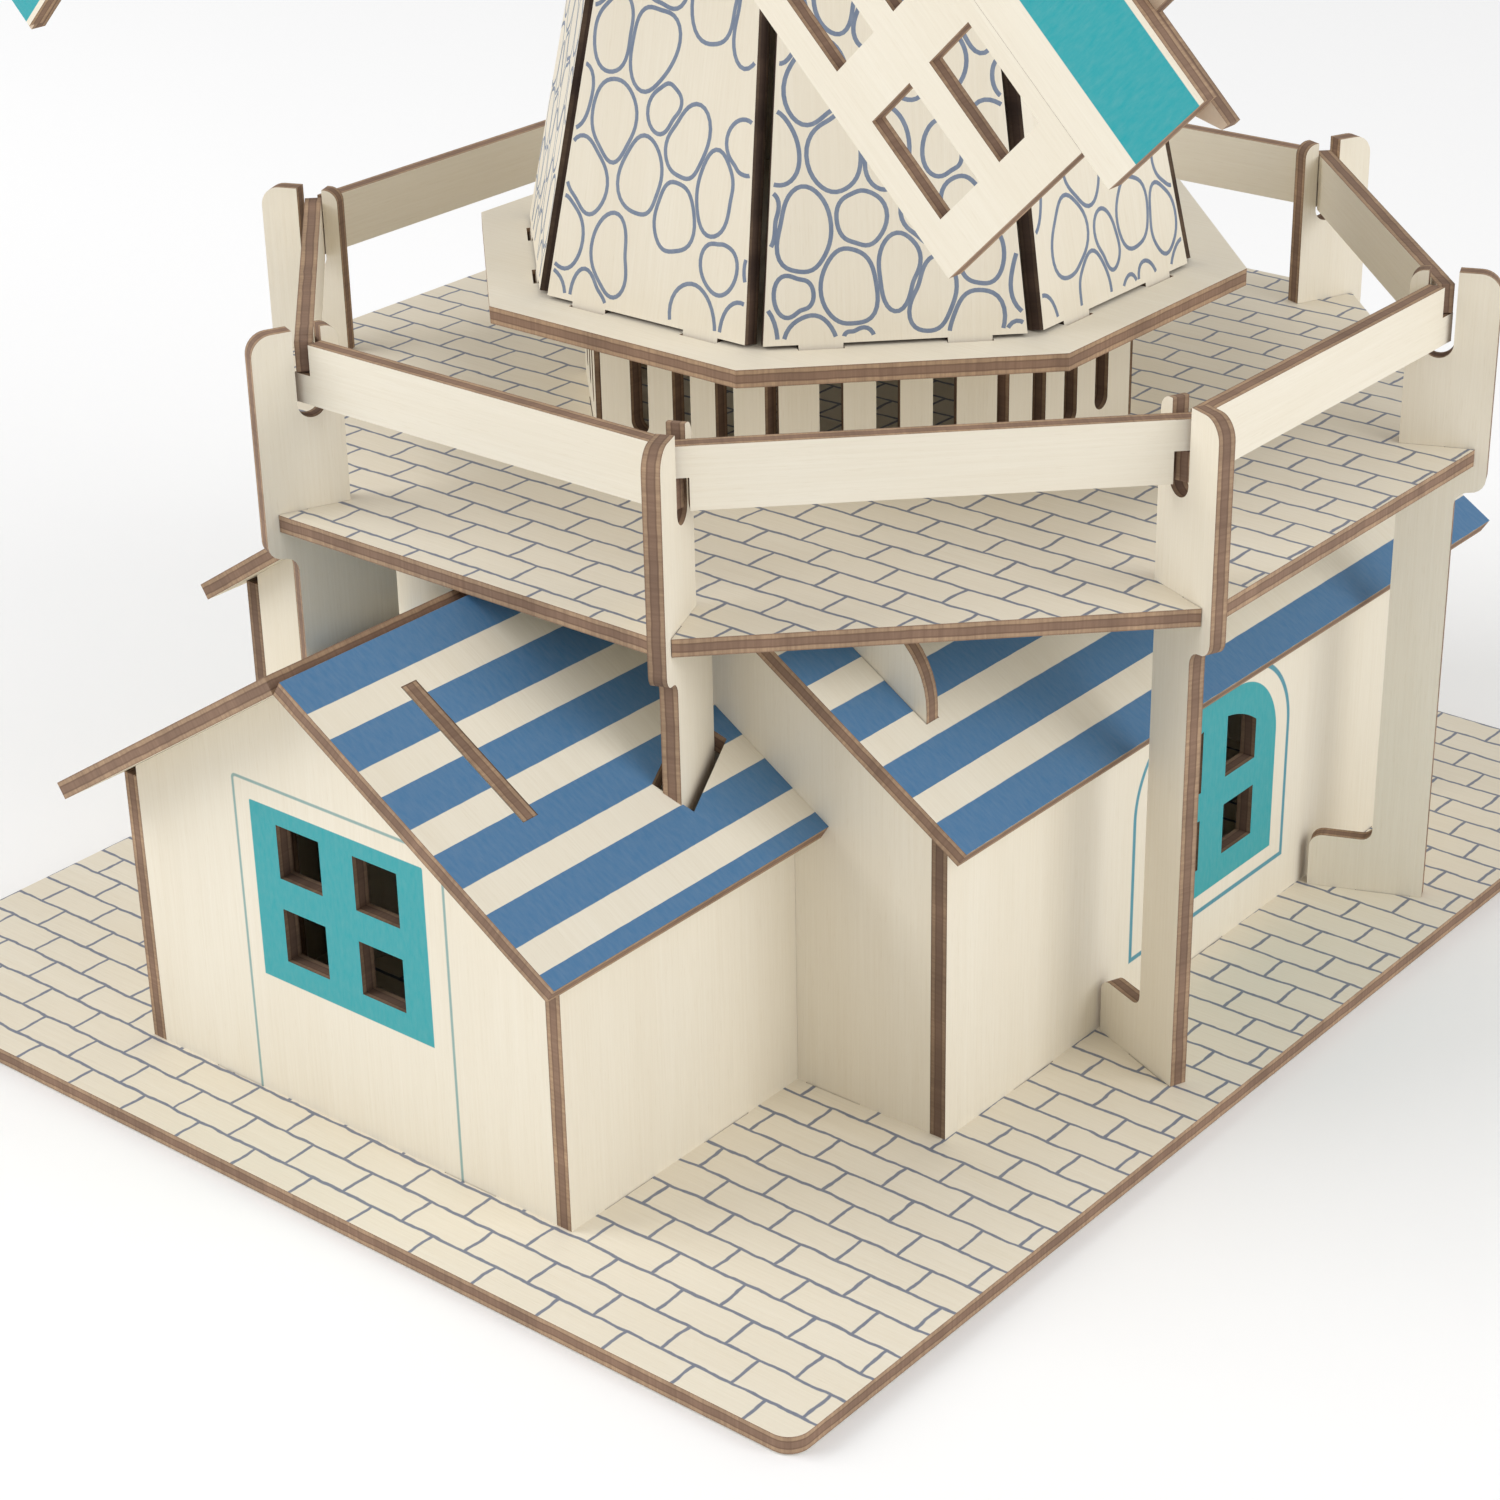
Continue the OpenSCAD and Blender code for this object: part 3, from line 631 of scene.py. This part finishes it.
def tower_face(i, lean):
    """The function from a point on the face of tower panel i, and a height over it, to metres."""
    turn = math.radians(-90 + 45 * i)
    out = Vector((math.cos(turn), math.sin(turn), 0))
    side = Vector((-out.y, out.x, 0))
    up = Vector((0, 0, 1))
    face = out * math.cos(lean) + up * math.sin(lean)
    rise = up * math.cos(lean) - out * math.sin(lean)
    origin = out * (TOWER_R * math.cos(HALF_TURN)) + up * (COLLAR_Z + T)
    return lambda p, h: (origin + side * p.x + rise * p.y + face * h) / 1000


def new_object(name, verts, faces, material):
    """A mesh object in the scene."""
    mesh = bpy.data.meshes.new(name)
    mesh.from_pydata(verts, [], faces)
    mesh.materials.append(material)
    obj = bpy.data.objects.new(name, mesh)
    bpy.context.scene.collection.objects.link(obj)
    return obj


def cobbles():
    lean, foot, top, length = tower_sizes()
    rng = random.Random(SEED)
    material = stone_ink()

    def inside(p):
        half = foot + (top - foot) * (p.y / length)
        return FOOT_RIM < p.y < length - TOP_RIM and abs(p.x) < half - INK_W / 2

    for i in range(8):
        lift = tower_face(i, lean)
        verts, faces = [], []
        seeds = cobble_seeds(rng, foot, length)
        for k in range(len(seeds)):
            outline = cobble_outline(seeds, k)
            for line, closed in runs_inside(outline, inside) if outline else []:
                ribbon(verts, faces, line, closed, lift)
        obj = new_object("cobbles_%d" % (i + 1), verts, faces, material)
        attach(obj, "mill")


# ---- Floor, light and camera, in metres and degrees ----
FLOOR_HALF, FLOOR_Z = 3.0, -0.0003
LAMP_SIZE, LAMP_AIM = 1.1, (0, 0, 0.1)
SKY = 0.64                               # strength of the white surroundings
AZIMUTH, DOWNWARD, ROLL = 39.85, 26.34, -1.21
EYE = (0.28259, -0.3641, 0.24407)
LENS, SENSOR = 78.8, 36.0                # millimetres


def floor_material():
    g = Graph("floor")
    haze = g.noise(g.coord.outputs["Object"], 3.0)
    colour = g.mix(g.mul(haze, 0.3), FLOOR_WHITE, FLOOR_HAZE)
    return g.finish(colour, 0.85, haze, bump=0.02, spec=0.1)


def floor():
    corners = [(-1, -1), (1, -1), (1, 1), (-1, 1)]
    verts = [(FLOOR_HALF * x, FLOOR_HALF * y, FLOOR_Z) for x, y in corners]
    obj = new_object("floor", verts, [(0, 1, 2, 3)], floor_material())


def lamp(name, place, watts):
    """A square soft box that looks at the mill's middle, a little above the deck."""
    data = bpy.data.lights.new(name, "AREA")
    data.shape = "SQUARE"
    data.size = LAMP_SIZE
    data.energy = watts
    obj = bpy.data.objects.new(name, data)
    bpy.context.scene.collection.objects.link(obj)
    obj.location = place
    obj.rotation_mode = "QUATERNION"
    obj.rotation_quaternion = (Vector(LAMP_AIM) - Vector(place)).to_track_quat("-Z", "Y")


def lights():
    world = bpy.data.worlds.new("studio")
    bpy.context.scene.world = world
    world.use_nodes = True
    sky = world.node_tree.nodes.get("Background") or world.node_tree.nodes.new("ShaderNodeBackground")
    sky.inputs["Color"].default_value = (1, 1, 1, 1)
    sky.inputs["Strength"].default_value = SKY
    lamp("left_box", (-1.10, -0.92, 0.82), watts=15)
    lamp("right_box", (1.43, 0.12, 0.82), watts=10)


def display():
    """Shows colours as they are given, so that the floor stays white and the prints keep their strength."""
    bpy.context.scene.view_settings.view_transform = "Standard"


def camera():
    """The eye stands to the front right, a little above the hub, and looks down on the houses."""
    az, pitch, roll = (math.radians(a) for a in (AZIMUTH, DOWNWARD, ROLL))
    ahead = Vector((-math.sin(az) * math.cos(pitch), math.cos(az) * math.cos(pitch), -math.sin(pitch)))
    right = Vector((math.cos(az), math.sin(az), 0))
    down = ahead.cross(right)
    x = right * math.cos(roll) - down * math.sin(roll)
    y = -(right * math.sin(roll) + down * math.cos(roll))
    data = bpy.data.cameras.new("camera")
    data.sensor_width = SENSOR
    data.lens = LENS
    data.clip_start, data.clip_end = 0.01, 20.0
    obj = bpy.data.objects.new("camera", data)
    bpy.context.scene.collection.objects.link(obj)
    pose = Matrix((x, y, -ahead)).transposed().to_4x4()
    pose.translation = Vector(EYE)
    obj.matrix_world = pose
    bpy.context.scene.camera = obj


paint_ground()
paint_annex()
paint_house()
paint_deck()
paint_tower()
cobbles()
paint_cap()
paint_sails()
floor()
lights()
display()
camera()
